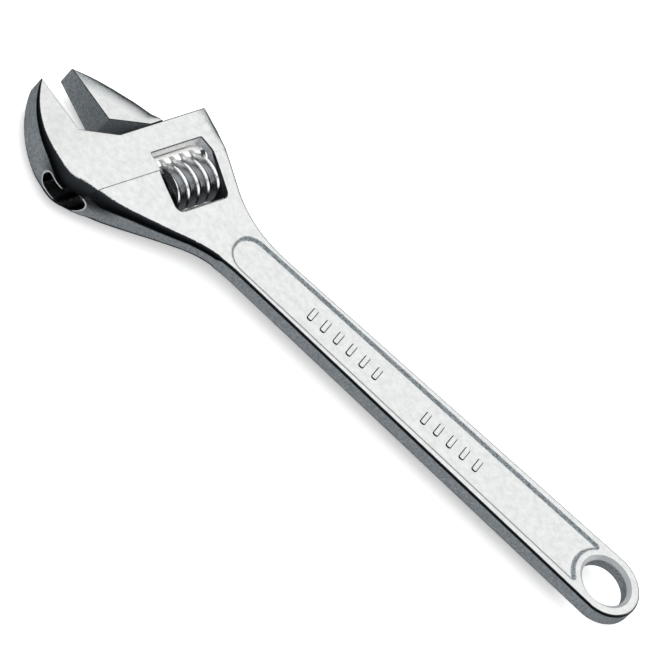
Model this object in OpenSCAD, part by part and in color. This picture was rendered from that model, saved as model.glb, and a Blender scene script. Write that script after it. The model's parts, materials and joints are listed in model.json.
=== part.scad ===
// Adjustable wrench, 300 mm size. Millimetres, +Z up out of the flat of the tool.
// The origin is the centre of the hanging hole at mid-thickness, and +X runs along the handle.
// The head has its own frame: x opens the jaws, y points out of the mouth, and its origin is
// where the plane of the fixed jaw's grip meets the slide.

/* [Handle] */
// Distance along the handle from the hanging hole to the head's origin
reach = 255.4; // [225:1:310]
// Distance from the handle's centre line to the head's origin
jaw_side = 18.7; // [17:0.1:20]
// Angle between the handle and the mouth
head_angle = 22; // [20:0.5:24]
// Thickness of the handle and the eye
handle_t = 7; // [6:0.1:8.4]
// Width of the handle where it leaves the head
neck_w = 22.6; // [19:0.1:24.5]
// Width of the handle at the hanging hole
eye_w = 30; // [28:0.1:36]
// Radius of the handle's round end
eye_r = 15.2; // [14.5:0.1:18]
// Radius of the hanging hole
hole_r = 9.9; // [8:0.1:11]
// Bevel round each rim of the hanging hole
hole_bevel = 1.4; // [0.3:0.1:2]

/* [Panel] */
// Depth of the sunk panel on each side of the handle
panel_depth = 1; // [0.5:0.1:1.4]
// Width of the rails beside the panel at the neck
rail_neck = 2.8; // [2:0.1:4]
// Width of the rails beside the panel at the eye
rail_eye = 4; // [3:0.1:6]
// Radius of the full-thickness ring round the hanging hole
ring_r = 14.3; // [13.5:0.1:15]
// Distance of the panel's head end from the neck, where the handle meets the head
panel_gap = 4; // [2:0.5:30]
// Height of the raised bars on the panel
bar_h = 0.5; // [0.2:0.1:0.5]
// Length of a raised bar
bar_len = 6.6; // [4:0.1:8]
// Width of a raised bar
bar_w = 2; // [1:0.1:2.5]

/* [Head] */
// Thickness of the head between its ground faces
head_t = 17; // [15:0.1:18]
// Thickness of both jaws at their tips
tip_t = 9.7; // [8:0.1:12]
// Step down from a ground face to the forged surface
ground_step = 0.7; // [0.2:0.1:1]
// Height of the ground faces below the slide
ground_h = 18.5; // [17:0.1:19.5]
// Height of the jaws above the slide
jaw_h = 32.5; // [28:0.5:36]
// Height of the throat's relief above the slide
relief_h = 7.3; // [5:0.1:9]
// Length of the throat's relief along the slide
relief_l = 15.4; // [12:0.1:17]
// Length of the slide from the fixed jaw's grip to the shoulder
slide_l = 60.4; // [58:0.1:64]

/* [Movable jaw] */
// Opening of the jaws as drawn
opening = 15.5; // [8:0.1:20]
// Length of the movable jaw's foot from its grip to its back
foot_l = 22.7; // [20.5:0.1:25]
// Radius of the curve down the movable jaw's back
back_r = 70; // [50:1:120]
// Diameter of the toothed rod
rod_d = 10; // [9.4:0.1:11]
// Depth of the rod's axis below the slide
rod_depth = 15.4; // [15:0.1:16]
// Thickness of the web between the rod and the jaw
web_t = 6.6; // [4:0.1:7]
// Distance from the movable jaw's grip back to the rod's left end
rod_back = 11.5; // [8:0.1:12.5]
// Distance from the movable jaw's grip on to the rod's right end
rod_on = 35.5; // [33:0.1:40]

/* [Worm] */
// Distance between the worm's ridges, and the rack's pitch
pitch = 5.2; // [4.5:0.1:6]
// Outer diameter of the worm
worm_d = 19.5; // [18:0.1:19.5]
// Depth of the worm's grooves
ridge_h = 2.75; // [2:0.05:2.75]
// Length of the worm
worm_l = 24.6; // [20:0.1:25.5]
// Depth of the worm's axis below the slide
worm_depth = 23.4; // [23.4:0.1:24]
// Diameter of the pin that the worm turns on
pin_d = 4; // [3:0.1:4]
// Depth of the pin's blind end in the head
pin_seat = 7; // [4:0.5:10]
// Wire diameter of the worm's spring
wire_d = 0.8; // [0.5:0.1:1]
// Length of the worm's spring as fitted
spring_l = 6.4; // [4:0.1:10]

/* [Window] */
// Distance of the window's left wall from the fixed jaw's grip
window_x = 24; // [22:0.1:26]
// Width of the window along its top edge
window_w = 26.4; // [25:0.1:27.5]
// Lean of the window's right wall
window_lean = 9; // [4:1:14]
// Room for a finger below the worm
finger_gap = 2.1; // [1:0.1:5]

/* [Clearances] */
// Gap between the movable jaw and the slide
slide_gap = 0.15; // [0.1:0.05:0.3]
// Radial gap of the rod in its bore, and of the worm on its pin
run_gap = 0.06; // [0.03:0.01:0.1]
// Gap on each side of the web in its slot
web_gap = 0.15; // [0.1:0.05:0.3]
// Gap at each end of the worm
end_gap = 0.3; // [0.2:0.05:0.5]
// Gap between the worm's ridges and the rack's teeth
mesh_gap = 0.4; // [0.35:0.05:0.5]

/* [Hidden] */
$fn = 64;

far = 400;                                      // longer than the whole tool
neck_left = reach - 61.9;                       // where the handle's edges meet the head's flanks
neck_right = reach - 68.4;
panel_end = neck_left - panel_gap;
worm_r = worm_d / 2;
worm_x = window_x + end_gap;                    // the worm's left end
worm_end = worm_x + worm_l;                     // the worm's right end
worm_chamfer = 1.5;
core_r = worm_r - ridge_h;
tooth_tip = worm_depth - core_r - mesh_gap;     // depth of the rack's tooth tips below the slide
tooth_root = worm_depth - worm_r - mesh_gap;    // depth of the rack's tooth roots
mesh_x = 34.5;                                  // a ridge's middle where the worm meets the rack
lead = atan(pitch / (2 * PI * (worm_r - ridge_h / 2)));
bore_r = rod_d / 2 + run_gap;
roof = 2.4;                                     // metal left over the keyhole, below the slide
slot_axis = roof + web_t / 2 + web_gap;         // depth of the keyhole's round top
window_top = rod_depth - 4.4;                   // edges of the window, as depths below the slide
window_bottom = worm_depth + worm_r + finger_gap;
spring_seat = spring_l + 0.1;                   // depth of the spring's seat in the worm
spring_r = 3.1;                                 // middle of the wire's coil
seat_r = spring_r + wire_d / 2 + 0.5;

// A list with every point [x, y, r] of an outline turned into an arc of radius r.
function unit(v) = v / norm(v);
function turn(a, b, c, r, n = 12) =
    r == 0 ? [b] :
    let (u = unit(a - b), v = unit(c - b), half = acos(u * v) / 2)
    let (mid = b + unit(u + v) * r / sin(half), start = b + u * r / tan(half) - mid)
    let (side = u.x * v.y - u.y * v.x > 0 ? -1 : 1, sweep = side * (180 - 2 * half))
    [for (i = [0 : n]) let (w = sweep * i / n)
        mid + [start.x * cos(w) - start.y * sin(w), start.x * sin(w) + start.y * cos(w)]];
function xy(p) = [p.x, p.y];
function rounded(p) = let (n = len(p))
    [for (i = [0 : n - 1]) each turn(xy(p[(i + n - 1) % n]), xy(p[i]), xy(p[(i + 1) % n]), p[i][2])];

// A point [x, y, r] of the head's frame, in the tool's frame.
function head(x, y, r = 0) = [
    reach - x * sin(head_angle) + y * cos(head_angle),
    jaw_side - x * cos(head_angle) - y * sin(head_angle),
    r];
module head_frame() { translate([reach, jaw_side, 0]) rotate(-90 - head_angle) children(); }
// A cylinder along the head's x axis, and a profile (y, z) drawn out along it.
module along(x, depth, r, l) { translate([x, -depth, 0]) rotate([0, 90, 0]) cylinder(h = l, r = r); }
module swept(points) {
    translate([-far / 2, 0, 0]) rotate([90, 0, 90]) linear_extrude(far) polygon(points);
}

// The forging seen from the side: flat handle, swelling head, ground faces, tapering jaws.
module side_profile() {
    rise_foot = 46;
    rise_r = 120;
    half = rounded([
        [-far, handle_t / 2, 0],
        [-rise_foot, handle_t / 2, rise_r],
        [-ground_h, head_t / 2 - ground_step, 0],
        [-ground_h, head_t / 2, 0],
        [0, head_t / 2, 0],
        [jaw_h, tip_t / 2, 0],
        [jaw_h + 5, tip_t / 2, 0],
        [-far, 0, 0]]);
    upper = [for (p = half) if (p.y > 0) p];
    swept(concat(upper, [for (i = [len(upper) - 1 : -1 : 0]) [upper[i].x, -upper[i].y]]));
}

// The forging seen from the front.
module plan() {
    cheek = head(-16.8, 19, 50);
    heel = head(-20.8, -12, 11);
    belly = head(-5.6, -26.3, 30);
    flank = head(slide_l, -9.5, 15);
    polygon(rounded([
        [0, eye_w / 2, 0],
        [neck_left, neck_w / 2, 45],
        belly, heel, cheek,
        head(0, jaw_h),
        head(0, relief_h, 0.6),
        head(relief_l, 0, 1.5),
        head(slide_l, 0, 0.8),
        flank,
        [neck_right, -neck_w / 2, 60],
        [0, -eye_w / 2, 0]]));
    circle(r = eye_r);
}

// The sunk panel, with round head corners, stopping at the ring round the hanging hole.
module panel() {
    neck = neck_w / 2 - rail_neck;
    eye = eye_w / 2 - rail_eye;
    difference() {
        polygon(rounded([[0, eye, 0], [panel_end, neck, 8], [panel_end, -neck, 8], [0, -eye, 0]]));
        circle(r = ring_r);
    }
}

// Two groups of plain raised bars on the panel.
module bars() {
    for (group = [[6, 150], [5, 92]], i = [0 : group[0] - 1])
        translate([group[1] - 6.6 * i, 0]) square([bar_w, bar_len], center = true);
}

// The window for the worm: a straight left wall, and a right wall that leans away from the worm.
module window() {
    low = worm_depth + worm_r - worm_chamfer;
    lean_x = worm_end + 0.4;
    right = [for (y = [17, window_bottom]) [lean_x + (low - y) * tan(window_lean), -y]];
    linear_extrude(far, center = true) polygon(rounded([
        [window_x, -window_top, 0.5],
        [window_x + window_w, -window_top, 0.5],
        [right[0].x, right[0].y, 1],
        [right[1].x, right[1].y, 2],
        [window_x, -window_bottom, 2.5]]));
}

module body() {
    color([0.78, 0.79, 0.8]) difference() {
        union() {
            difference() {
                intersection() {
                    linear_extrude(head_t + 1, center = true) plan();
                    head_frame() side_profile();
                }
                for (side = [-1, 1]) translate([0, 0, side * (handle_t / 2)])
                    linear_extrude(2 * panel_depth, center = true) panel();
                head_frame() window();
            }
            floor_z = handle_t / 2 - panel_depth;
            for (side = [-1, 1]) translate([0, 0, side * (floor_z + bar_h / 2 - 0.1)])
                linear_extrude(bar_h + 0.2, center = true) bars();
            // boss that the worm's right end runs on
            head_frame() along(worm_end + end_gap, worm_depth, 4.5, 6);
        }
        // hanging hole with its bevels
        cylinder(h = far, r = hole_r, center = true);
        for (side = [0, 1]) mirror([0, 0, side]) translate([0, 0, handle_t / 2 - hole_bevel])
            cylinder(h = 2 * hole_bevel, r1 = hole_r, r2 = hole_r + 2 * hole_bevel);
        head_frame() {
            // rod bore from cheek to flank, with the keyhole's round-topped slot over it
            along(-far / 4, rod_depth, bore_r, far / 2);
            slot = web_t + 2 * web_gap;
            translate([-far / 4, -rod_depth, -slot / 2]) cube([far / 2, rod_depth - slot_axis, slot]);
            along(-far / 4, slot_axis, slot / 2, far / 2);
            // the slot opens into the slide from the throat to the shoulder
            translate([relief_l + 0.5, -rod_depth, -slot / 2]) cube([far / 4, far / 20, slot]);
            // pin hole, blind at the left
            along(window_x - pin_seat, worm_depth, pin_d / 2 + 0.02, far / 4);
        }
    }
}

module jaw_plan() {
    polygon(concat(
        rounded([[opening, jaw_h, 0], [opening, relief_h + 0.2, 0.6], [opening + relief_l + 0.8, slide_gap, 0],
            [opening + foot_l, slide_gap, 0]]),
        back_curve()));
}

// The curve of radius back_r up the movable jaw's back, between its foot and its tip.
function back_curve() =
    let (foot = [opening + foot_l, slide_gap], tip = [opening, jaw_h], chord = tip - foot)
    let (half = asin(norm(chord) / 2 / back_r), mid = (foot + tip) / 2)
    let (centre = mid + unit([-chord.y, chord.x]) * back_r * cos(half), start = foot - centre)
    [for (i = [1 : 15]) let (w = 2 * half * i / 16)
        centre + [start.x * cos(w) - start.y * sin(w), start.x * sin(w) + start.y * cos(w)]];

// One slot between two teeth of the rack, slanted as the worm's ridges are.
module tooth_slot(x) {
    tip_w = 1.45;
    root_w = 0.9;
    below = 2;
    flare = (tip_w - root_w) * below / (tooth_tip - tooth_root);
    translate([x, 0, 0]) rotate([0, lead, 0]) linear_extrude(4 * rod_d, center = true) polygon([
        [-root_w, -tooth_root], [root_w, -tooth_root],
        [tip_w + flare, -tooth_tip - below], [-tip_w - flare, -tooth_tip - below]]);
}

module movable_jaw() {
    left = opening - rod_back;
    right = opening + rod_on;
    web_x = opening + relief_l + 1;
    web_root = min(rod_depth, tooth_root) - 1;      // the web starts above the teeth, inside the rod
    first = floor((left - mesh_x) / pitch);
    last = ceil((right - mesh_x) / pitch);
    color([0.72, 0.73, 0.75]) head_frame() {
        intersection() {
            linear_extrude(head_t + 1, center = true) jaw_plan();
            side_profile();
        }
        // web: low and round-topped in the keyhole, full height under the jaw and behind it
        translate([left, -web_root, -web_t / 2]) cube([right - left, web_root - slot_axis, web_t]);
        along(left, slot_axis, web_t / 2, right - left);
        translate([web_x, -web_root, -web_t / 2]) cube([right - web_x, web_root - 0.4, web_t]);
        translate([web_x, -1, -web_t / 2]) cube([opening + foot_l - 1 - web_x, 1.5, web_t]);
        // rod, milled flat below its axis and cut into teeth
        difference() {
            along(left, rod_depth, rod_d / 2, right - left);
            translate([left - 1, -tooth_tip - far / 20, -rod_d]) cube([right - left + 2, far / 20, 2 * rod_d]);
            for (k = [first : last]) tooth_slot(mesh_x + k * pitch);
        }
    }
}

// Radius of the worm at z along it and angle a round it: a rounded ridge that climbs one pitch
// a turn, chamfered away at both ends.
function smooth(x) = let (c = min(max(x, 0), 1)) c * c * (3 - 2 * c);
function ridge_phase(z, a) = let (p = (z + worm_x - mesh_x) / pitch - (a - 90) / 360) p - round(p);
function thread_r(z, a) =
    let (crest = 0.06, foot = 0.21, d = abs(ridge_phase(z, a)))
    core_r + ridge_h * smooth((foot - d) / (foot - crest));
function worm_radius(z, a) =
    min(thread_r(z, a), worm_r - worm_chamfer + z, worm_r - worm_chamfer + worm_l - z);

module worm_blank() {
    sides = 48;
    rings = round(worm_l / pitch * 14);
    points = [for (i = [0 : rings], j = [0 : sides - 1])
        let (z = worm_l * i / rings, a = 360 * j / sides, r = worm_radius(z, a))
        [r * cos(a), r * sin(a), z]];
    walls = [for (i = [0 : rings - 1], j = [0 : sides - 1])
        let (a = i * sides + j, b = i * sides + (j + 1) % sides)
        each [[a, b + sides, b], [a, a + sides, b + sides]]];
    ends = [[for (j = [0 : sides - 1]) j], [for (j = [sides - 1 : -1 : 0]) rings * sides + j]];
    polyhedron(points, concat(walls, ends), convexity = 8);
}

module worm() {
    color([0.7, 0.71, 0.73]) head_frame() translate([worm_x, -worm_depth, 0]) rotate([0, 90, 0])
        difference() {
            worm_blank();
            translate([0, 0, -1]) cylinder(h = worm_l + 2, r = pin_d / 2 + run_gap);
            translate([0, 0, -1]) cylinder(h = spring_seat + 1, r = seat_r);
        }
}

module worm_pin() {
    left = window_x - pin_seat + 0.5;
    right = slide_l - 2.4;
    slot_w = 1;
    color([0.55, 0.56, 0.58]) head_frame() difference() {
        along(left, worm_depth, pin_d / 2, right - left);
        translate([right, -worm_depth, 0]) cube([2, pin_d + 1, slot_w], center = true);
    }
}

// An open coil of round wire round the pin, from the window's left wall into the worm's end.
module worm_spring() {
    turns = 4;
    sides = 8;
    rings = 20 * turns;
    span = spring_l - wire_d - 0.1;
    points = [for (i = [0 : rings], j = [0 : sides - 1])
        let (a = 360 * turns * i / rings, b = 360 * j / sides)
        let (r = spring_r + wire_d / 2 * cos(b), z = wire_d / 2 * sin(b) + span * i / rings)
        [r * cos(a), r * sin(a), z]];
    walls = [for (i = [0 : rings - 1], j = [0 : sides - 1])
        let (a = i * sides + j, b = i * sides + (j + 1) % sides)
        each [[a, b, b + sides], [a, b + sides, a + sides]]];
    ends = [[for (j = [sides - 1 : -1 : 0]) j], [for (j = [0 : sides - 1]) rings * sides + j]];
    color([0.5, 0.5, 0.52]) head_frame()
        translate([window_x + wire_d / 2 + 0.05, -worm_depth, 0]) rotate([0, 90, 0])
        polyhedron(points, concat(walls, ends), convexity = 8);
}

body();
movable_jaw();
worm();
worm_pin();
worm_spring();
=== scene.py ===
import json
from math import asin, atan, atan2, cos, pi, radians, sin, tan

import bmesh
import bpy
from mathutils import Matrix, Vector


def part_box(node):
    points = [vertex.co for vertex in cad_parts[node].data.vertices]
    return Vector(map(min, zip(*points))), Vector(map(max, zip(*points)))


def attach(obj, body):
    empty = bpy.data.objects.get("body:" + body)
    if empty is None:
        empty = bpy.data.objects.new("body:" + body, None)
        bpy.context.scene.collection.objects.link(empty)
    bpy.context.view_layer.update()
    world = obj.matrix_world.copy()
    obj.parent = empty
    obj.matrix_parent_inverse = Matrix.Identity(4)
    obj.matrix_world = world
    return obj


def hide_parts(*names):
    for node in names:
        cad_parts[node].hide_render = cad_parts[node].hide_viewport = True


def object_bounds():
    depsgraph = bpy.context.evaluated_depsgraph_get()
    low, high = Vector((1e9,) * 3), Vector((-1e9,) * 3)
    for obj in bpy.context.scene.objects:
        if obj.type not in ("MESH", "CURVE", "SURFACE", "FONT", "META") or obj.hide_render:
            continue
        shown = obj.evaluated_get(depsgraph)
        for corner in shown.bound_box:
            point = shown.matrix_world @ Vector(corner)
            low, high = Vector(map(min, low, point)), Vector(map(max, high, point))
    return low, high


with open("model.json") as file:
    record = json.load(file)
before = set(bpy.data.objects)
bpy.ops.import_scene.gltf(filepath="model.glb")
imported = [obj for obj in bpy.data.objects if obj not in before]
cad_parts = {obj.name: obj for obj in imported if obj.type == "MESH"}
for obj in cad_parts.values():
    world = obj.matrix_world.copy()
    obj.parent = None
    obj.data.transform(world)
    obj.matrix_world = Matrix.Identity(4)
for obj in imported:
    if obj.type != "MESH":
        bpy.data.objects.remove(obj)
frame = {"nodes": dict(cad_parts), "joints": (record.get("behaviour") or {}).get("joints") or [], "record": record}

cad_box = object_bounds()


# --- Camera ---------------------------------------------------------------------------------
# A long lens two and a half metres away, above the handle's left side, rolled so that the tool
# lies across the frame from corner to corner with its mouth at the upper left.

mounts = {mount["name"]: mount for mount in frame["record"]["mounts"]}
aim = Vector(mounts["hanging_hole"]["pos_m"]) + Vector((0.144, 0.0002, 0.0031))
eye_distance = 2.5
towards = Vector((0.03596, 0.7022, 0.71107)).normalized()
view_right = Vector((-0.7366, -0.46223, 0.49372)).normalized()
view_up = towards.cross(view_right)
camera_data = bpy.data.cameras.new("Camera")
camera_data.sensor_width = 36
camera_data.lens = 366.8
camera_data.clip_end = 20
camera = bpy.data.objects.new("Camera", camera_data)
camera_turn = Matrix((view_right, view_up, towards)).transposed().to_4x4()
camera.matrix_world = Matrix.Translation(aim + eye_distance * towards) @ camera_turn
bpy.context.collection.objects.link(camera)
bpy.context.scene.camera = camera
bpy.context.scene.view_settings.view_transform = "Standard"


# --- Studio ---------------------------------------------------------------------------------
# A plain pale floor that the tool lies on, a large soft panel behind the tool that whitens its
# flat faces, and soft top and fill lights that show in no reflection. The room itself is dark.

floor_reach = 6
floor_height = cad_box[0][2]
floor_mesh = bmesh.new()
bmesh.ops.create_grid(floor_mesh, x_segments=1, y_segments=1, size=floor_reach)
bmesh.ops.translate(floor_mesh, verts=floor_mesh.verts, vec=(0, 0, floor_height))
floor_data = bpy.data.meshes.new("Floor")
floor_mesh.to_mesh(floor_data)
floor = bpy.data.objects.new("Floor", floor_data)
bpy.context.collection.objects.link(floor)
paper = bpy.data.materials.new("Floor")
paper.use_nodes = True
paper_shader = paper.node_tree.nodes["Principled BSDF"].inputs
paper_shader["Base Color"].default_value = (0.9, 0.9, 0.9, 1)
paper_shader["Roughness"].default_value = 0.9
paper_shader["Emission Color"].default_value = (1, 1, 1, 1)
paper_shader["Emission Strength"].default_value = 0.42
floor.data.materials.append(paper)
floor.visible_glossy = False


def lamp(name, kind, direction, distance, **settings):
    """A lamp that points at the middle of the tool from a direction."""
    data = bpy.data.lights.new(name, kind)
    for setting, value in settings.items():
        setattr(data, setting, value)
    light = bpy.data.objects.new(name, data)
    light.location = aim + distance * Vector(direction).normalized()
    light.rotation_euler = Vector(direction).to_track_quat("Z", "Y").to_euler()
    bpy.context.collection.objects.link(light)
    return light


lamp("Panel", "AREA", (0.02, -0.705, 0.709), 1.5, energy=13.5, shape="RECTANGLE", size=2.6, size_y=1.7)
lamp("Card", "AREA", (-0.87, -0.38, 0.3), 1.5, energy=2.2, shape="RECTANGLE", size=0.7, size_y=0.9)
top = lamp("Top", "SUN", (0.1, 0.1, 1), 2, energy=2.0, angle=radians(110))
top.visible_glossy = False
fill = lamp("Fill", "SUN", (0.2, 1, 0.5), 2, energy=0.9, angle=radians(100))
fill.visible_glossy = False

room = bpy.data.worlds.new("Room")
room.use_nodes = True
bpy.context.scene.world = room
room_nodes = room.node_tree.nodes
view = room_nodes.new("ShaderNodeTexCoord")
split = room_nodes.new("ShaderNodeSeparateXYZ")
rise = room_nodes.new("ShaderNodeMapRange")
rise.inputs["From Min"].default_value = -1
shades = room_nodes.new("ShaderNodeValToRGB")
stops = shades.color_ramp.elements
stops[0].position, stops[0].color = 0.1, (0.07, 0.076, 0.082, 1)
stops[1].position, stops[1].color = 1, (0.5, 0.5, 0.5, 1)
for position, grey in ((0.35, 0.05), (0.48, 0.02), (0.8, 0.02), (0.9, 0.2)):
    stop = stops.new(position)
    stop.color = (grey, grey * 1.04, grey * 1.08, 1)
link = room.node_tree.links.new
link(view.outputs["Generated"], split.inputs[0])
link(split.outputs["Z"], rise.inputs["Value"])
link(rise.outputs[0], shades.inputs[0])
link(shades.outputs[0], room_nodes["Background"].inputs["Color"])


# --- Forged body ----------------------------------------------------------------------------
# The handle, head and fixed jaw are one drop forging of alloy steel, satin chrome plated. Its
# edges are soft from the dies; the faces round the jaws are ground flat. The window, the
# keyhole for the toothed rod, the pin's hole and the hanging hole are machined through it.

MM = 0.001
across = Vector(mounts["fixed_jaw_face"]["axis"]).normalized()
out_of_mouth = Vector((-across.y, across.x, 0))
grip_height = 20
head_origin = Vector(mounts["fixed_jaw_face"]["pos_m"]) / MM - grip_height * out_of_mouth
head_turn = Matrix((across, out_of_mouth, (0, 0, 1))).transposed().to_4x4()
head_frame = Matrix.Translation(head_origin) @ head_turn
to_head = head_frame.inverted()

slab_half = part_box("body")[1].z / MM        # half thicknesses: between the ground faces,
forged_half = 7.8                           # just below them, at the jaws' tips and in the handle
tip_half = 4.85
handle_half = 3.5
jaw_top = 32.5                              # heights up the head's frame: the tips, the ground
ground_edge = -18.5                         # faces' lower edge and the foot of the rise
rise_foot = -46
rise_blend = 10
eye_radius = 15.2
hole_radius = mounts["hanging_hole"]["dims"]["r_mm"]
hole_bevel = 1.4
panel_depth = 1
panel_ring = 14.3
rod_depth = 15.4
rod_radius = 5
rod_fit = 0.06
web_thickness = 6.6
web_fit = 0.3
far_left = -100                             # a cut right across the head runs between these
far_right = 120


def in_head(x, y, radius=0):
    """A corner of the head's frame, in the tool's frame."""
    point = head_frame @ Vector((x, y, 0))
    return (point.x, point.y, radius)


def arc(radius, start, end, steps):
    """Points round the hanging hole, as sharp corners of an outline."""
    angles = [radians(start + (end - start) * i / steps) for i in range(steps + 1)]
    return [(radius * cos(a), radius * sin(a), 0) for a in angles]


def outline(corners, steps=12, stride=6):
    """Corners (x, y, radius) as points: an arc at each, and a point every stride between them."""
    points = []
    for i, (x, y, radius) in enumerate(corners):
        corner = Vector((x, y))
        before = (Vector(corners[i - 1][:2]) - corner).normalized()
        after = (Vector(corners[(i + 1) % len(corners)][:2]) - corner).normalized()
        if radius == 0:
            points.append(corner)
            continue
        half = before.angle(after) / 2
        middle = corner + (before + after).normalized() * radius / sin(half)
        start = corner + before * radius / tan(half) - middle
        sweep = (pi - 2 * half) * (-1 if before.cross(after) > 0 else 1)
        for k in range(steps + 1):
            turned = start.copy()
            turned.rotate(Matrix.Rotation(sweep * k / steps, 2))
            points.append(middle + turned)
    filled = []
    for one, two in zip(points, points[1:] + points[:1]):
        parts = max(1, round((two - one).length / stride))
        filled += [one.lerp(two, k / parts) for k in range(parts)]
    area = sum(one.cross(two) for one, two in zip(filled, filled[1:] + filled[:1]))
    return filled if area > 0 else filled[::-1]


def pillar(points, levels):
    """A solid on an outline. levels(point) gives its rings: each one's step inwards, and height."""
    mesh = bmesh.new()
    rings = [levels(point) for point in points]
    inwards = []
    for i, point in enumerate(points):
        one = (point - points[i - 1]).normalized()
        two = (points[(i + 1) % len(points)] - point).normalized()
        inwards.append(Vector((-one.y - two.y, one.x + two.x)) / (1 + one.dot(two)))
    base = [mesh.verts.new((*(p + n * r[0][0]), r[0][1])) for p, n, r in zip(points, inwards, rings)]
    face = mesh.faces.new(base)
    for level in range(1, len(rings[0])):
        top = bmesh.ops.extrude_discrete_faces(mesh, faces=[face])["faces"][0]
        for corner, p, n, r in zip(top.verts, points, inwards, rings):
            corner.co = (*(p + n * r[level][0]), r[level][1])
        face = top
    mesh.faces.new(base[::-1])
    return mesh


def doubled(mesh, joined=True):
    """Adds the mesh's image below the middle plane. A joined one loses its face on the plane."""
    if joined:
        bmesh.ops.delete(mesh, geom=[f for f in mesh.faces if all(abs(v.co.z) < 1e-6 for v in f.verts)],
            context="FACES_ONLY")
    bmesh.ops.mirror(mesh, geom=mesh.verts[:] + mesh.edges[:] + mesh.faces[:], merge_dist=1e-5, axis="Z")
    if not joined:
        bmesh.ops.remove_doubles(mesh, verts=mesh.verts, dist=1e-6)
    bmesh.ops.recalc_face_normals(mesh, faces=mesh.faces)
    return mesh


def between(value, table):
    """A value looked up in rising (value, result) pairs, straight lines between them."""
    for (low, first), (high, second) in zip(table, table[1:]):
        if value <= high:
            return first + (second - first) * max(value - low, 0) / (high - low)
    return table[-1][1]


def soft_edge(width, depth, end=90):
    """Rings up from the middle plane to an edge rounded by a width and a depth.

    The rounding ends at an angle in degrees: short of 90 it meets the face in a crisp line."""
    angles = [radians(end * k / 5) for k in range(6)]
    spread, rise = 1 - cos(angles[-1]), sin(angles[-1])
    return [(0, 0)] + [
        (width * (1 - cos(a)) / spread, slab_half - depth * (1 - sin(a) / rise)) for a in angles]


def flared_cut(width):
    """Rings of a cutter that rounds the edge it leaves by a width."""
    angles = [radians(18 * k) for k in range(5)]
    rim = [(-width * (1 - cos(a)), slab_half - width * (1 - sin(a))) for a in angles]
    return [(0, 0)] + rim + [(-1.2 * width, slab_half + 0.3 * width), (-1.2 * width, slab_half + 3)]


def panel_cut(point):
    """Rings of the cutter for the sunk panel: a filleted floor and a rounded rim."""
    floor_level = slab_half - panel_depth
    slope = [(0.95, 0), (0.6, 0.07), (0.3, 0.24), (0, 0.5), (-0.3, 0.76), (-0.6, 0.93), (-0.95, 0.99),
        (-1.05, 1.01), (-1.15, 3)]
    return [(step, floor_level + rise * panel_depth) for step, rise in slope]


def object_of(name, mesh):
    """The object of a piece, from its bmesh."""
    data = bpy.data.meshes.new(name)
    mesh.to_mesh(data)
    piece = bpy.data.objects.new(name, data)
    bpy.context.collection.objects.link(piece)
    return piece


def combine(piece, mesh, operation="DIFFERENCE"):
    """Applies a boolean with a solid that isn't kept."""
    bmesh.ops.recalc_face_normals(mesh, faces=mesh.faces)
    tool = object_of("tool", mesh)
    cut = piece.modifiers.new("Cut", "BOOLEAN")
    cut.operation = operation
    cut.object = tool
    shape = bpy.data.meshes.new_from_object(piece.evaluated_get(bpy.context.evaluated_depsgraph_get()))
    piece.modifiers.clear()
    piece.data = shape
    bpy.data.objects.remove(tool)


def rod(x, depth, radius, length):
    """A round bar along the head's x axis, from x, its axis a depth below the slide."""
    mesh = bmesh.new()
    bmesh.ops.create_cone(mesh, cap_ends=True, segments=64, radius1=radius, radius2=radius, depth=length)
    bmesh.ops.transform(mesh, verts=mesh.verts, matrix=head_frame
        @ Matrix.Translation((x + length / 2, -depth, 0)) @ Matrix.Rotation(pi / 2, 4, "Y"))
    return mesh


def block(left_end, right_end, low, high, thickness):
    """A block in the head's frame, centred on the middle plane."""
    mesh = bmesh.new()
    bmesh.ops.create_cube(mesh, size=1)
    bmesh.ops.scale(mesh, verts=mesh.verts, vec=(right_end - left_end, high - low, thickness))
    bmesh.ops.translate(mesh, verts=mesh.verts, vec=((left_end + right_end) / 2, (low + high) / 2, 0))
    bmesh.ops.transform(mesh, verts=mesh.verts, matrix=head_frame)
    return mesh


step_fade = [(26, 0), (46, 0.85)]           # across the head, the ground faces' step dies away


def half_thickness(spot):
    """Half the tool's thickness at a spot of the head's frame."""
    if spot.y > 0:
        return slab_half + (tip_half - slab_half) * min(spot.y / jaw_top, 1.1)
    if spot.y > ground_edge - 0.01:
        return slab_half
    slope = (forged_half - handle_half) / (ground_edge - rise_foot)
    up_slope = spot.y - rise_foot
    if abs(up_slope) < rise_blend:
        return handle_half + slope * (up_slope + rise_blend) ** 2 / (4 * rise_blend)
    step = (slab_half - forged_half) * between(spot.x, step_fade)
    return handle_half + slope * max(up_slope, 0) + step * between(spot.y, [(-36, 0), (ground_edge, 1)])


def pressed(piece, heights):
    """Thins a slab of full thickness to half_thickness, cutting its faces where the slope changes.

    What lies near the middle plane round the rod's bore keeps its place."""
    mesh = bmesh.new()
    mesh.from_mesh(piece.data)
    for y in heights:
        bmesh.ops.bisect_plane(mesh, geom=mesh.verts[:] + mesh.edges[:] + mesh.faces[:], dist=1e-5,
            plane_co=(*in_head(0, y)[:2], 0), plane_no=out_of_mouth)
    for vertex in mesh.verts:
        spot = to_head @ vertex.co
        kept = between(spot.y, [(-26, 0.6), (-20.6, 5.15)])
        share = between(abs(vertex.co.z), [(kept, 0), (kept + 0.9, 1)])
        shift = (slab_half - half_thickness(spot)) * share
        vertex.co.z -= shift if vertex.co.z > 0 else -shift
    bmesh.ops.scale(mesh, verts=mesh.verts, vec=(MM, MM, MM))
    for face in mesh.faces:
        face.smooth = True
    mesh.to_mesh(piece.data)


def finish_shape(piece, crease=24):
    """Shades a piece smooth but for its crisp edges."""
    piece.data.set_sharp_from_angle(angle=radians(crease))
    weighted = piece.modifiers.new("Shading", "WEIGHTED_NORMAL")
    weighted.keep_sharp = True
    weighted.weight = 100


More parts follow.
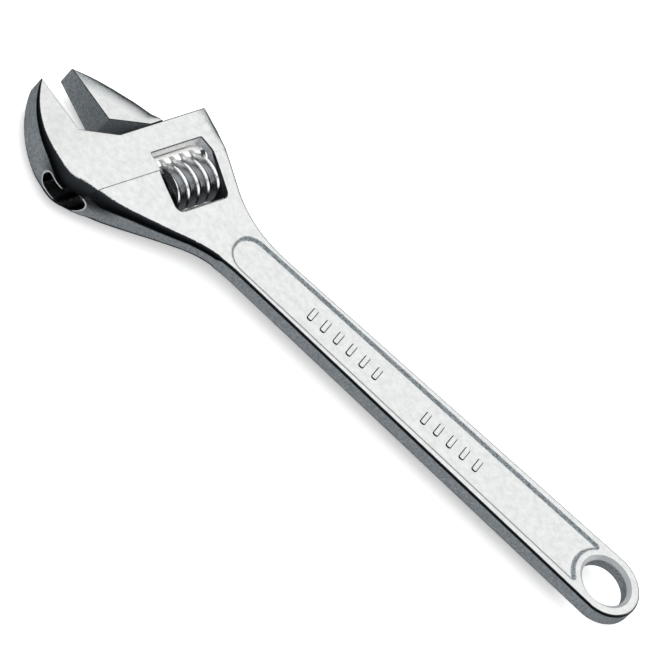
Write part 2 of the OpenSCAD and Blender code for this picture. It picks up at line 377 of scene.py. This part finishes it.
# Widths and depths of the worn edge at heights up the head: down the fixed jaw's cheek and the
# heel, and down the right flank. The cheek's edge turns less than a quarter, so it stays crisp.
cheek_widths = [(-80, 1.6), (-48, 2.1), (-30, 3), (-21, 5), (-16, 7.2), (-10, 6.2), (0, 3.6), (12, 2),
    (28, 0.9), (jaw_top, 0.35)]
cheek_depths = [(-80, 2.2), (-48, 2.3), (-30, 3.2), (-16, 4.8), (-8, 4.6), (2, 3), (15, 1.8), (28, 0.9),
    (jaw_top, 0.35)]
flank_widths = [(-80, 1.2), (-40, 1.5), (-20, 1.8), (-12, 4.2), (-3, 4.6), (0, 1.2)]
flank_depths = [(-80, 1), (-20, 1.3), (-12, 1.7), (-3, 1.8), (0, 0.8)]
cheek_ends = [(-32, 90), (-19, 56)]
mouth_right = 59.9
flank_from = 30


def body_edge(point):
    """Rings of the body: sharp in the mouth, wide and soft down the cheek, heel and flank."""
    spot = to_head @ point.to_3d()
    y = spot.y
    if y > -0.5 and -0.3 < spot.x < mouth_right:
        return soft_edge(0.8, 0.6)
    if spot.x > flank_from:
        return soft_edge(between(y, flank_widths), between(y, flank_depths))
    return soft_edge(between(y, cheek_widths), between(y, cheek_depths), between(y, cheek_ends))


body = object_of("Forged_body", doubled(pillar(outline([
    (0, 15.1, 0),                           # eye, and up the handle's fixed jaw side
    (193.5, 11.3, 45),
    in_head(-5.6, -26.3, 30),               # heel
    in_head(-20.8, -12, 11),
    in_head(-16.8, 19, 50),                 # cheek
    in_head(0, jaw_top),                    # tip and grip
    in_head(0, 7.3, 0.6),
    in_head(15.4, 0, 1.5),                  # throat and slide
    in_head(60.4, 0, 0.8),
    in_head(60.4, -9.5, 15),                # right flank, and down the handle's other side
    (187, -11.3, 60),
    (0, -15.1, 0),
    *arc(eye_radius, 264, 96, 36)]), body_edge)))

rim_widths = [(-35, 1.6), (-20, 1.1), (-18.6, 0.6), (-11, 0.45)]    # of the window, going up
window = outline([
    in_head(24, -11, 0.5),
    in_head(50.4, -11, 0.5),
    in_head(51.6, -17, 1),
    in_head(48.75, -35.25, 2),
    in_head(24, -35.25, 2.5),
    in_head(24, -19)], stride=3)
combine(body, doubled(pillar(window,
    lambda point: flared_cut(between((to_head @ point.to_3d()).y, rim_widths)))))

panel = [(9.3, 10.9, 0.8), (189.5, 8.5, 8), (189.5, -8.5, 8), (9.3, -10.9, 0.8)]
combine(body, doubled(pillar(outline(panel + arc(panel_ring, -38, 38, 16)), panel_cut), joined=False))


def bar_rings(point):
    """Rings of a raised bar, from inside the panel's floor to its rounded top."""
    rings = [(-0.4, 1.3), (-0.25, 0.95), (0.1, 0.6), (0.5, 0.5)]
    return [(step, slab_half - below) for step, below in rings]


bar_groups = ((6, 150), (5, 92))            # bars in a group, and its first bar's place
bar_pitch = 6.6
bar_long = 3.3                              # half a bar's length and width
bar_wide = 1
bar_corner = 0.6
bars = bmesh.new()
for count, first in bar_groups:
    for i in range(count):
        x = first - bar_pitch * i
        corners = [(x + across_bar * bar_wide, along_bar * bar_long, bar_corner)
            for across_bar, along_bar in ((1, 1), (-1, 1), (-1, -1), (1, -1))]
        bar = doubled(pillar(outline(corners, steps=4, stride=10), bar_rings), joined=False)
        bar_data = bpy.data.meshes.new("bar")
        bar.to_mesh(bar_data)
        bars.from_mesh(bar_data)
combine(body, bars, "UNION")


def turned_solid(profile, steps=96):
    """A closed solid turned about Z from a profile of (radius, height) points."""
    mesh = bmesh.new()
    points = [mesh.verts.new((r, 0, z)) for r, z in profile]
    edges = [mesh.edges.new((points[i - 1], points[i])) for i in range(len(points))]
    bmesh.ops.spin(mesh, geom=points + edges, cent=(0, 0, 0), axis=(0, 0, 1), dvec=(0, 0, 0),
        angle=2 * pi, steps=steps, use_merge=True)
    bmesh.ops.remove_doubles(mesh, verts=mesh.verts, dist=1e-5)
    bmesh.ops.delete(mesh, geom=[e for e in mesh.edges if not e.link_faces], context="EDGES")
    bmesh.ops.recalc_face_normals(mesh, faces=mesh.faces)
    return mesh


bevelled = hole_radius + hole_bevel
over = 2
upper_half = [
    (hole_radius, slab_half - hole_bevel - 0.2),
    (hole_radius + 0.07, slab_half - hole_bevel + 0.05),
    (bevelled - 0.15, slab_half - 0.17),
    (bevelled + 0.15, slab_half - 0.02),
    (bevelled + 0.9, slab_half + 0.1),
    (bevelled + 0.9, slab_half + over)]
lower_half = [(r, -z) for r, z in upper_half[::-1]]
combine(body, turned_solid([(0, -slab_half - over), *lower_half, *upper_half, (0, slab_half + over)]))

worm_joint = next(joint for joint in frame["joints"] if joint["name"] == "worm_turn")
worm_points = [to_head @ (vertex.co / MM) for vertex in frame["nodes"]["worm"].data.vertices]
worm_start = min(point.x for point in worm_points)
worm_length = max(point.x for point in worm_points) - worm_start
worm_depth = -(to_head @ (Vector(worm_joint["pos_m"]) / MM)).y
pin_radius = 2
pin_fit = 0.02
boss_radius = 4.5
slot = web_thickness + web_fit
slot_roof = 2.4
slot_axis = slot_roof + slot / 2
throat = 15.9
pin_start = 17
pin_cut = 100
combine(body, rod(worm_start + worm_length + 0.3, worm_depth, boss_radius, 5), "UNION")
combine(body, rod(far_left, rod_depth, rod_radius + rod_fit, far_right - far_left))
combine(body, block(far_left, far_right, -rod_depth, -slot_axis, slot))
combine(body, rod(far_left, slot_axis, slot / 2, far_right - far_left))
combine(body, block(throat, far_right, -rod_depth, 6, slot))
combine(body, rod(pin_start, worm_depth, pin_radius + pin_fit, pin_cut))
bends = [jaw_top - 0.02, 0, ground_edge, ground_edge - 0.02, -24, -30, -36]
bends += [rise_foot + rise_blend * (1 - i / 8) for i in range(17)]
pressed(body, bends)
finish_shape(body)
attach(body, "head")
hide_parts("body")


class Level:
    """A socket of a finish. Arithmetic on it adds Math nodes."""

    def __init__(self, finish, socket):
        self.finish = finish
        self.socket = socket

    def math(self, operation, *values):
        """The Math node of an operation on values or levels."""
        return self.finish.node("Math", {"operation": operation}, dict(enumerate(values)))

    def __add__(self, other):
        return self.math("ADD", self, other)

    def __radd__(self, other):
        return self.math("ADD", other, self)

    def __sub__(self, other):
        return self.math("SUBTRACT", self, other)

    def __rsub__(self, other):
        return self.math("SUBTRACT", other, self)

    def __mul__(self, other):
        return self.math("MULTIPLY", self, other)

    def __rmul__(self, other):
        return self.math("MULTIPLY", other, self)

    def __pow__(self, other):
        return self.math("POWER", self, other)

    def __abs__(self):
        return self.math("ABSOLUTE", self)

    def most(self, other):
        return self.math("MAXIMUM", self, other)

    def least(self, other):
        return self.math("MINIMUM", self, other)

    def ramp(self, low, high):
        """This value's smooth rise from 0, at low, to 1, at high."""
        return self.finish.node("MapRange", {"interpolation_type": "SMOOTHSTEP"},
            {"Value": self, "From Min": low, "From Max": high})


class Finish:
    """A material and its nodes, worked in millimetres of the object's own coordinates."""

    def __init__(self, name, **shader):
        self.material = bpy.data.materials.new(name)
        self.material.use_nodes = True
        self.tree = self.material.node_tree
        self.shader = self.tree.nodes["Principled BSDF"]
        for socket, value in shader.items():
            self.shader.inputs[socket.replace("_", " ")].default_value = value
        place = self.node("TexCoord", out="Object")
        self.place = self.node("VectorMath", {"operation": "SCALE"}, {0: place, "Scale": 1 / MM})

    def node(self, kind, settings=None, sockets=None, out=0):
        """A node of a kind, with its settings made first and then its sockets' values or links."""
        node = self.tree.nodes.new("ShaderNode" + kind)
        for setting, value in (settings or {}).items():
            setattr(node, setting, value)
        for socket, value in (sockets or {}).items():
            if isinstance(value, Level):
                self.tree.links.new(value.socket, node.inputs[socket])
            else:
                node.inputs[socket].default_value = value
        return Level(self, node.outputs[out])

    def noise(self, scale, detail=2, rough=0.5, place=None):
        """Mottling, at a scale of spots a millimetre."""
        return self.node("TexNoise", {"noise_dimensions": "3D"},
            {"Vector": place or self.place, "Scale": scale, "Detail": detail, "Roughness": rough})

    def turned(self, angle, scale):
        """The place turned about Z and stretched, for a pattern with a direction."""
        return self.node("Mapping", {"vector_type": "TEXTURE"},
            {"Vector": self.place, "Rotation": (0, 0, angle), "Scale": scale})

    def parts(self, vector):
        """A vector's three values."""
        split = self.node("SeparateXYZ", None, {0: vector}).socket.node
        return [Level(self, output) for output in split.outputs]

    def dot(self, vector, direction):
        """How far a vector reaches in a direction."""
        return self.node("VectorMath", {"operation": "DOT_PRODUCT"}, {0: vector, 1: direction}, "Value")

    def blend(self, amount, one, other):
        """One colour, turning into the other as the amount goes from 0 to 1."""
        return self.node("Mix", {"data_type": "RGBA"}, {0: amount, 6: one, 7: other}, 2)

    def paint(self, socket, level):
        """Links a level to one of the shader's sockets."""
        self.tree.links.new(level.socket, self.shader.inputs[socket])

    def bump(self, level, depth):
        """Relief of a depth in millimetres."""
        self.paint("Normal", self.node("Bump", None, {"Height": level, "Distance": depth * MM}))


def put_finish(piece, finish):
    """Gives a piece its one material."""
    piece.data.materials.clear()
    piece.data.materials.append(finish.material)


class ForgedChrome(Finish):
    """Satin chrome: bright on the ground and polished faces, slate grey on the rough forged sides, which is partly
    their tone and partly painted shade, and painted shade on the rounded edges.
    """

    def __init__(self, name):
        super().__init__(name)
        self.normal = self.node("TexCoord", out="Normal")
        self.x, self.y, self.z = self.parts(self.place)
        self.up = self.dot(self.place, out_of_mouth) - head_origin.dot(out_of_mouth)
        self.along = self.dot(self.place, across) - head_origin.dot(across)
        facing = abs(self.parts(self.normal)[2])
        self.cloud = self.noise(0.35, 5, 0.7)
        self.grain = self.noise(1.7, 3, 0.65)
        streaks = self.noise(1, 3, 0.6, self.turned(radians(30), (0.4, 3, 1.2)))
        # Painted shade: the rounded edges between the flat faces and the sides are coloured near black, a little
        # lighter on the side of the tool that faces across.
        lit_side = self.dot(self.normal, across).ramp(-0.05, 0.05)
        mottled_facing = facing + 2 * (1 - facing) * (self.grain - 0.5)
        self.flat = mottled_facing.ramp(0.955 - 0.12 * lit_side, 0.982)
        # The sides are slate: partly the rough forging's own tone, partly painted shade.
        self.side = facing.ramp(0.3, 0.1)
        self.white = self.blend(self.cloud.ramp(0.3, 0.75), (0.85, 0.86, 0.845, 1), (0.7, 0.715, 0.71, 1))
        # The colour of the painted shade on the rounded edges.
        self.edge_shade = self.blend(lit_side, (0.05, 0.058, 0.065, 1), (0.1, 0.115, 0.125, 1))
        self.slate = self.blend((0.5 * self.grain + 0.5 * streaks).ramp(0.35, 0.65),
            (0.13, 0.15, 0.165, 1), (0.3, 0.325, 0.345, 1))
        # A mottled grey of painted shade, for faces that curve away from the light.
        self.skin = self.blend(self.grain.ramp(0.35, 0.65), (0.13, 0.15, 0.165, 1), (0.42, 0.46, 0.48, 1))
        self.metal = 1 - 0.8 * self.side

    def plate(self, rough, edge, slate):
        """White faces, turning to a mottled grey of painted shade as rough rises, a colour on the rounded edges
        and slate sides.
        """
        face = self.blend(0.85 * rough, self.white, self.skin)
        return self.blend(self.side, self.blend(self.flat, edge, face), slate)

    def lay_on(self, piece, colour, metal):
        """Puts the finish on a piece, with its colour, its metallic share and the plate's grain."""
        self.paint("Base Color", colour)
        self.paint("Metallic", metal)
        self.paint("Roughness", 0.4 - 0.08 * self.flat + 0.2 * (self.grain - 0.5))
        self.bump(self.grain + 0.6 * self.noise(0.5), 0.05)
        put_finish(piece, self)


chrome = ForgedChrome("Satin_chrome")
up, along = chrome.up, chrome.along
# Painted shade: a mottled grey on the flat faces near the shoulder's right flank.
shoulder_shade = (along + 5 * (chrome.cloud - 0.5)).ramp(54.5, 60) * up.ramp(-18, -9)
in_panel = (abs(chrome.y) + 0.0172 * chrome.x - 12.87).ramp(0.1, -0.1)
in_panel = in_panel * chrome.x.ramp(6, 9) * chrome.x.ramp(192, 191)
on_bars = abs(chrome.y).ramp(5, 4.5) * abs(chrome.x - 108).ramp(50, 48)
# Painted shade on the sunk panel's rounded rim: a mottled grey with less metal, in place of the near-black edge
# shade.
panel_rim_shade = in_panel * (1 - on_bars) * (1 - chrome.flat)
heel_shade = up.ramp(6, -8) * up.ramp(-34, -22) * chrome.z.ramp(-2, 4) * along.ramp(0, -5)
heel_slate = chrome.blend(heel_shade, chrome.slate, (0.02, 0.023, 0.026, 1))
colour = chrome.plate(shoulder_shade, chrome.blend(panel_rim_shade, chrome.edge_shade, chrome.skin), heel_slate)

# Painted light and shade on the window's walls: light grey high up as a painted reflection of the worm, near black
# lower down as painted shade, and white on the roof wall that faces down the handle as a painted reflection.
in_window = abs(along - 37.8).ramp(15, 14) * abs(up + 23.6).ramp(13.5, 13) * chrome.side
roof_wall_highlight = in_window * chrome.dot(chrome.normal, out_of_mouth).ramp(-0.9, -0.97)
wall = chrome.blend(up.ramp(-20, -26), (0.5, 0.53, 0.55, 1), (0.02, 0.022, 0.025, 1))
colour = chrome.blend(in_window, colour, wall)
colour = chrome.blend(roof_wall_highlight, colour, (1, 1, 0.99, 1))

# Painted highlight: a light grey rim on the sides round the rod's bore and the web's slot.
to_bore = ((up + rod_depth) ** 2 + chrome.z ** 2) ** 0.5 - rod_radius
past_slot = (up + slot_axis).most(-rod_depth - up).most(0)
to_slot = (past_slot ** 2 + chrome.z ** 2) ** 0.5 - slot / 2
keyhole_rim_highlight = to_bore.least(to_slot).ramp(0.6, 0.35) * chrome.side * (1 - in_window)
colour = chrome.blend(keyhole_rim_highlight, colour, (0.55, 0.58, 0.6, 1))

# Painted highlight on the hanging hole's bevel: a mottled grey with less metal all round it.
to_hole = (chrome.x ** 2 + chrome.y ** 2) ** 0.5
bevel = to_hole.ramp(hole_radius + 1.7, hole_radius + 1.3) * (1 - chrome.side)
bevel_grey = chrome.blend(chrome.grain, (0.3, 0.33, 0.35, 1), (0.7, 0.72, 0.73, 1))
colour = chrome.blend(bevel, colour, bevel_grey)
chrome.lay_on(body, colour, chrome.metal * (1 - 0.7 * panel_rim_shade) * (1 - 0.7 * bevel))


# --- Sliding jaw ----------------------------------------------------------------------------
# The second jaw, forged with its web and round toothed rod, ground on its grip and both sides.
# It slides in the body's keyhole, and the worm's thread drives the teeth of its rod.

opening = 15.5
foot = 22.7
back_radius = 70
tooth_pitch = 5.2
rack_at = 34.5
tooth_tip = 16
tooth_root = 13.25
relief_top = 9                              # the crisp edges of the relief at the grip's foot
relief_end = opening + 17
rod_left = opening - 11.5
rod_right = opening + 35.5
web_left = opening + 16.4

slide_gap = 0.15
foot_end = Vector((opening + foot, slide_gap))
jaw_tip = Vector((opening, jaw_top))
chord = jaw_tip - foot_end
half_turn = asin(chord.length / 2 / back_radius)
bow_side = Vector((-chord.y, chord.x)).normalized()
bow_centre = (foot_end + jaw_tip) / 2 + bow_side * back_radius * cos(half_turn)
back_steps = 24
back = []
for i in range(1, back_steps):
    turned = foot_end - bow_centre
    turned.rotate(Matrix.Rotation(2 * half_turn * i / back_steps, 2))
    back.append(in_head(*(bow_centre + turned)))
back_widths = [(0, 0.6), (1, 0.8), (5, 6.6), (16, 7.2), (22, 5.6), (30, 1.9), (jaw_top, 0.5)]


def jaw_edge(point):
    """Rings of the sliding jaw: crisp round its grip, worn soft down its back."""
    spot = to_head @ point.to_3d()
    if spot.x < opening + 0.1 or spot.y < relief_top and spot.x < relief_end:
        return soft_edge(0.3, 0.3)
    width = between(spot.y, back_widths)
    return soft_edge(width, 0.3 * width + 0.2)


jaw = object_of("Sliding_jaw", doubled(pillar(outline([
    in_head(opening, jaw_top),
    in_head(opening, 7.5, 0.6),
    in_head(opening + 16.2, slide_gap),
    in_head(opening + foot, slide_gap),
    *back]), jaw_edge)))
combine(jaw, block(rod_left, rod_right, -tooth_root + 1, -slot_axis, web_thickness), "UNION")
combine(jaw, rod(rod_left, slot_axis, web_thickness / 2, rod_right - rod_left), "UNION")
combine(jaw, block(web_left, rod_right, -tooth_root + 1, -0.4, web_thickness), "UNION")
combine(jaw, block(web_left, opening + foot - 1, -3, 0.6, web_thickness), "UNION")

rack = object_of("rack", rod(rod_left, rod_depth, rod_radius, rod_right - rod_left))
combine(rack, block(rod_left - 1, rod_right + 1, -tooth_tip - 9, -tooth_tip, 12))
thread_middle = 8.375
lead = atan(tooth_pitch / (2 * pi * thread_middle))
slots = bmesh.new()
for k in range(-7, 5):
    cut = bmesh.ops.create_cube(slots, size=1)["verts"]
    for vertex in cut:
        half_width, depth = (1, tooth_root) if vertex.co.y > 0 else (1.8, tooth_tip + 2)
        vertex.co = (2 * half_width * vertex.co.x, -depth, 20 * vertex.co.z)
    bmesh.ops.rotate(slots, verts=cut, cent=(0, 0, 0), matrix=Matrix.Rotation(lead, 3, "Y"))
    bmesh.ops.translate(slots, verts=cut, vec=(rack_at + k * tooth_pitch, 0, 0))
bmesh.ops.transform(slots, verts=slots.verts, matrix=head_frame)
combine(rack, slots)
rack_mesh = bmesh.new()
rack_mesh.from_mesh(rack.data)
bpy.data.objects.remove(rack)
combine(jaw, rack_mesh, "UNION")
pressed(jaw, bends[:2])
finish_shape(jaw)
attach(jaw, "jaw")
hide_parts("movable_jaw")

jaw_chrome = ForgedChrome("Jaw_chrome")
# Painted shade: a mottled grey on the jaw's flat faces along its curved back.
from_bow = ((jaw_chrome.along - bow_centre.x) ** 2 + (jaw_chrome.up - bow_centre.y) ** 2) ** 0.5
back_shade = (back_radius - from_bow + 6 * (jaw_chrome.cloud - 0.5)).ramp(9, 1) * jaw_chrome.up.ramp(0, 4)
rod_part = jaw_chrome.up.ramp(-1, -2)
jaw_colour = jaw_chrome.plate(back_shade, jaw_chrome.edge_shade, jaw_chrome.slate)
jaw_colour = jaw_chrome.blend(rod_part, jaw_colour, (0.93, 0.93, 0.92, 1))
jaw_chrome.lay_on(jaw, jaw_colour, jaw_chrome.metal * (1 - rod_part) + 0.15 * rod_part)


# --- Worm -----------------------------------------------------------------------------------
# The thumb worm is a turned and rolled steel screw with rounded ridges, chamfered ends, a bore
# for its pin and a counterbore for its spring. It turns on the pin in the body's window.

worm_radius = max(point.z for point in worm_points)
worm_frame = head_frame @ Matrix.Translation((worm_start, -worm_depth, 0)) @ Matrix.Rotation(pi / 2, 4, "Y")
ridge_height = 2.75
ridge_half = 0.22                           # half a ridge's foot and its slope, in pitches
ridge_slope = 0.1
worm_chamfer = 1.5
ridge_points = 20
turn_steps = 96


def screw_thread():
    """The worm's thread: one ridge's outline swept up a helix and cut off flat at both ends."""
    mesh = bmesh.new()
    core = worm_radius - ridge_height
    phase = rack_at - worm_start
    chain = []
    for i in range(ridge_points + 1):
        from_ridge = i / ridge_points - 0.5
        share = min(max((ridge_half - abs(from_ridge)) / ridge_slope, 0), 1)
        r = core + ridge_height * share * share * (3 - 2 * share)
        chain.append(mesh.verts.new((0, r, phase + (from_ridge - 4) * tooth_pitch)))
    edges = [mesh.edges.new(pair) for pair in zip(chain, chain[1:])]
    turns = round(worm_length / tooth_pitch) + 5
    bmesh.ops.spin(mesh, geom=chain + edges, cent=(0, 0, 0), axis=(0, 0, 1),
        dvec=(0, 0, tooth_pitch / turn_steps), angle=2 * pi * turns, steps=turns * turn_steps,
        use_merge=False)
    bmesh.ops.remove_doubles(mesh, verts=mesh.verts, dist=1e-3)
    for cut, side in ((0.0, -1), (worm_length, 1)):
        bmesh.ops.bisect_plane(mesh, geom=mesh.verts[:] + mesh.edges[:] + mesh.faces[:],
            plane_co=(0, 0, cut), plane_no=(0, 0, side), clear_outer=True)
        rim = [edge for edge in mesh.edges if edge.is_boundary
            and all(abs(end.co.z - cut) < 1e-4 for end in edge.verts)]
        bmesh.ops.holes_fill(mesh, edges=rim, sides=0)
    bmesh.ops.recalc_face_normals(mesh, faces=mesh.faces)
    return mesh


spring_seat = 6.5
seat_radius = 4
bore_radius = pin_radius + 0.06
trim_radius = worm_radius + 0.01            # just clear of the ridges' tops
worm = object_of("Thumb_worm", screw_thread())
combine(worm, turned_solid([
    (seat_radius, 0), (worm_radius - worm_chamfer, 0), (trim_radius, worm_chamfer),
    (trim_radius, worm_length - worm_chamfer), (worm_radius - worm_chamfer, worm_length),
    (bore_radius, worm_length), (bore_radius, spring_seat), (seat_radius, spring_seat)]), "INTERSECT")
worm.data.transform(Matrix.Scale(MM, 4) @ worm_frame)
for polygon in worm.data.polygons:
    polygon.use_smooth = True
finish_shape(worm, 40)
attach(worm, "thumb_worm")
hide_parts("worm")

worm_steel = Finish("Worm_steel", Metallic=1.0)
from_joint = worm_steel.node("VectorMath", {"operation": "SUBTRACT"}, {
    0: worm_steel.place, 1: Vector(worm_joint["pos_m"]) / MM})
axis_part = worm_steel.dot(from_joint, across)
distance = worm_steel.node("VectorMath", {"operation": "LENGTH"}, {0: from_joint}, "Value")
from_axis = (distance * distance - axis_part * axis_part).most(0) ** 0.5
# Painted shade in the worm's grooves: the ridges' roots are a darker grey than their white crests.
crest = from_axis.ramp(worm_radius - ridge_height + 0.3, worm_radius - 0.3)
worm_grain = worm_steel.noise(1.5, 3, 0.6)
worm_steel.paint("Base Color", worm_steel.blend(crest, (0.62, 0.64, 0.66, 1), (0.97, 0.97, 0.97, 1)))
worm_steel.paint("Roughness", 0.26 - 0.04 * crest + 0.1 * (worm_grain - 0.5))
worm_steel.bump(worm_grain, 0.03)
put_finish(worm, worm_steel)


# --- Pin ------------------------------------------------------------------------------------
# A plain ground steel pin with a screwdriver slot, pushed in from the flank, that the worm turns
# on. Its left end sits in a blind hole in the head.

pin_steel = Finish("Pin_steel", Metallic=1.0)
turning = pin_steel.noise(2.5, 2, 0.5, pin_steel.turned(atan2(across.y, across.x), (0.08, 1, 1)))
pin_steel.paint("Base Color", pin_steel.blend(turning, (0.6, 0.61, 0.63, 1), (0.42, 0.43, 0.45, 1)))
pin_steel.paint("Roughness", 0.28 + 0.14 * turning)
pin_steel.bump(turning, 0.02)
put_finish(frame["nodes"]["worm_pin"], pin_steel)


# --- Spring ---------------------------------------------------------------------------------
# An open coil of spring wire round the pin, in the worm's counterbore, that pushes the worm
# against the window's right wall and takes up its play.

wire_radius = 0.4
coil_radius = 3.1
coil_turns = 4
coil_span = 5.5
coil_steps = 48
spring_mesh = bmesh.new()
wire = bmesh.ops.create_circle(spring_mesh, segments=12, radius=wire_radius)["verts"]
bmesh.ops.rotate(spring_mesh, verts=wire, cent=(0, 0, 0), matrix=Matrix.Rotation(pi / 2, 3, "X"))
bmesh.ops.translate(spring_mesh, verts=wire, vec=(coil_radius, 0, 0))
spring_mesh.faces.new(wire)
bmesh.ops.spin(spring_mesh, geom=wire + spring_mesh.edges[:], cent=(0, 0, 0), axis=(0, 0, 1),
    dvec=(0, 0, coil_span / (coil_steps * coil_turns)), angle=2 * pi * coil_turns,
    steps=coil_steps * coil_turns, use_merge=False)
open_end = [edge for edge in spring_mesh.edges if edge.is_boundary]
bmesh.ops.holes_fill(spring_mesh, edges=open_end, sides=0)
bmesh.ops.recalc_face_normals(spring_mesh, faces=spring_mesh.faces)
for face in spring_mesh.faces:
    face.smooth = True
spring_points = [to_head @ (vertex.co / MM) for vertex in frame["nodes"]["worm_spring"].data.vertices]
spring_start = min(point.x for point in spring_points) + wire_radius
bmesh.ops.transform(spring_mesh, verts=spring_mesh.verts, matrix=Matrix.Scale(MM, 4)
    @ head_frame @ Matrix.Translation((spring_start, -worm_depth, 0)) @ Matrix.Rotation(pi / 2, 4, "Y"))
spring = object_of("Worm_spring", spring_mesh)
spring.data.set_sharp_from_angle(angle=radians(40))
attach(spring, "head")
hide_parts("worm_spring")
spring_steel = Finish("Spring_steel", Metallic=1.0)
oxide = spring_steel.noise(1.2, 3, 0.6)
spring_steel.paint("Base Color", spring_steel.blend(oxide, (0.3, 0.31, 0.33, 1), (0.5, 0.5, 0.52, 1)))
spring_steel.paint("Roughness", 0.3 + 0.2 * oxide)
put_finish(spring, spring_steel)
